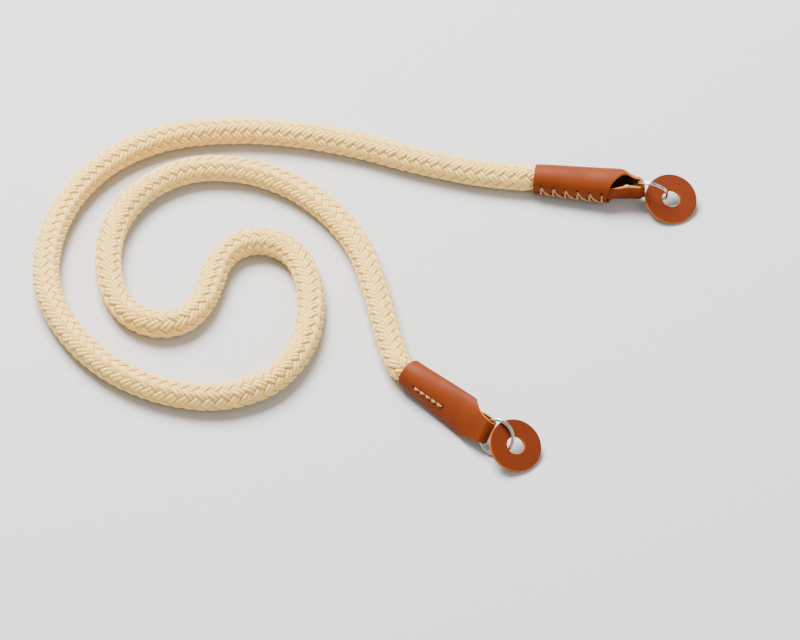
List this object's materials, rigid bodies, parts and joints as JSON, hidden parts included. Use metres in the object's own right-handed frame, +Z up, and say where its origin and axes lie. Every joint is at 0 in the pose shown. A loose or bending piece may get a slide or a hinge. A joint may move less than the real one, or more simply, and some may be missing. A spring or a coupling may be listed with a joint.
{
  "type": "camera neck strap",
  "caption": "Braided cotton rope neck strap lying in an open spiral, with stitched tan leather sleeves, split rings and leather bumper discs for fastening a camera.",
  "frame": {"origin": "on the surface that the strap lies on, midway between its two ends, under the middle of the box round both sleeves, rings and discs", "axes": "+Z up from the surface, +X to the right and +Y away as the strap is seen in the picture"},
  "size_m": [0.2881, 0.1972, 0.0163],
  "materials": {
    "rope_cotton": "cream braided cotton, matt",
    "tan_leather": "smooth tan vegetable-tanned leather, half matt",
    "ring_nickel": "bright nickel plate"
  },
  "bodies": {
    "root": {"rope": "rope_cotton", "sleeve_near": "tan_leather", "split_ring_near": "ring_nickel", "bumper_disc_near": "tan_leather", "sleeve_far": "tan_leather", "split_ring_far": "ring_nickel", "bumper_disc_far": "tan_leather"}
  },
  "joints": []
}
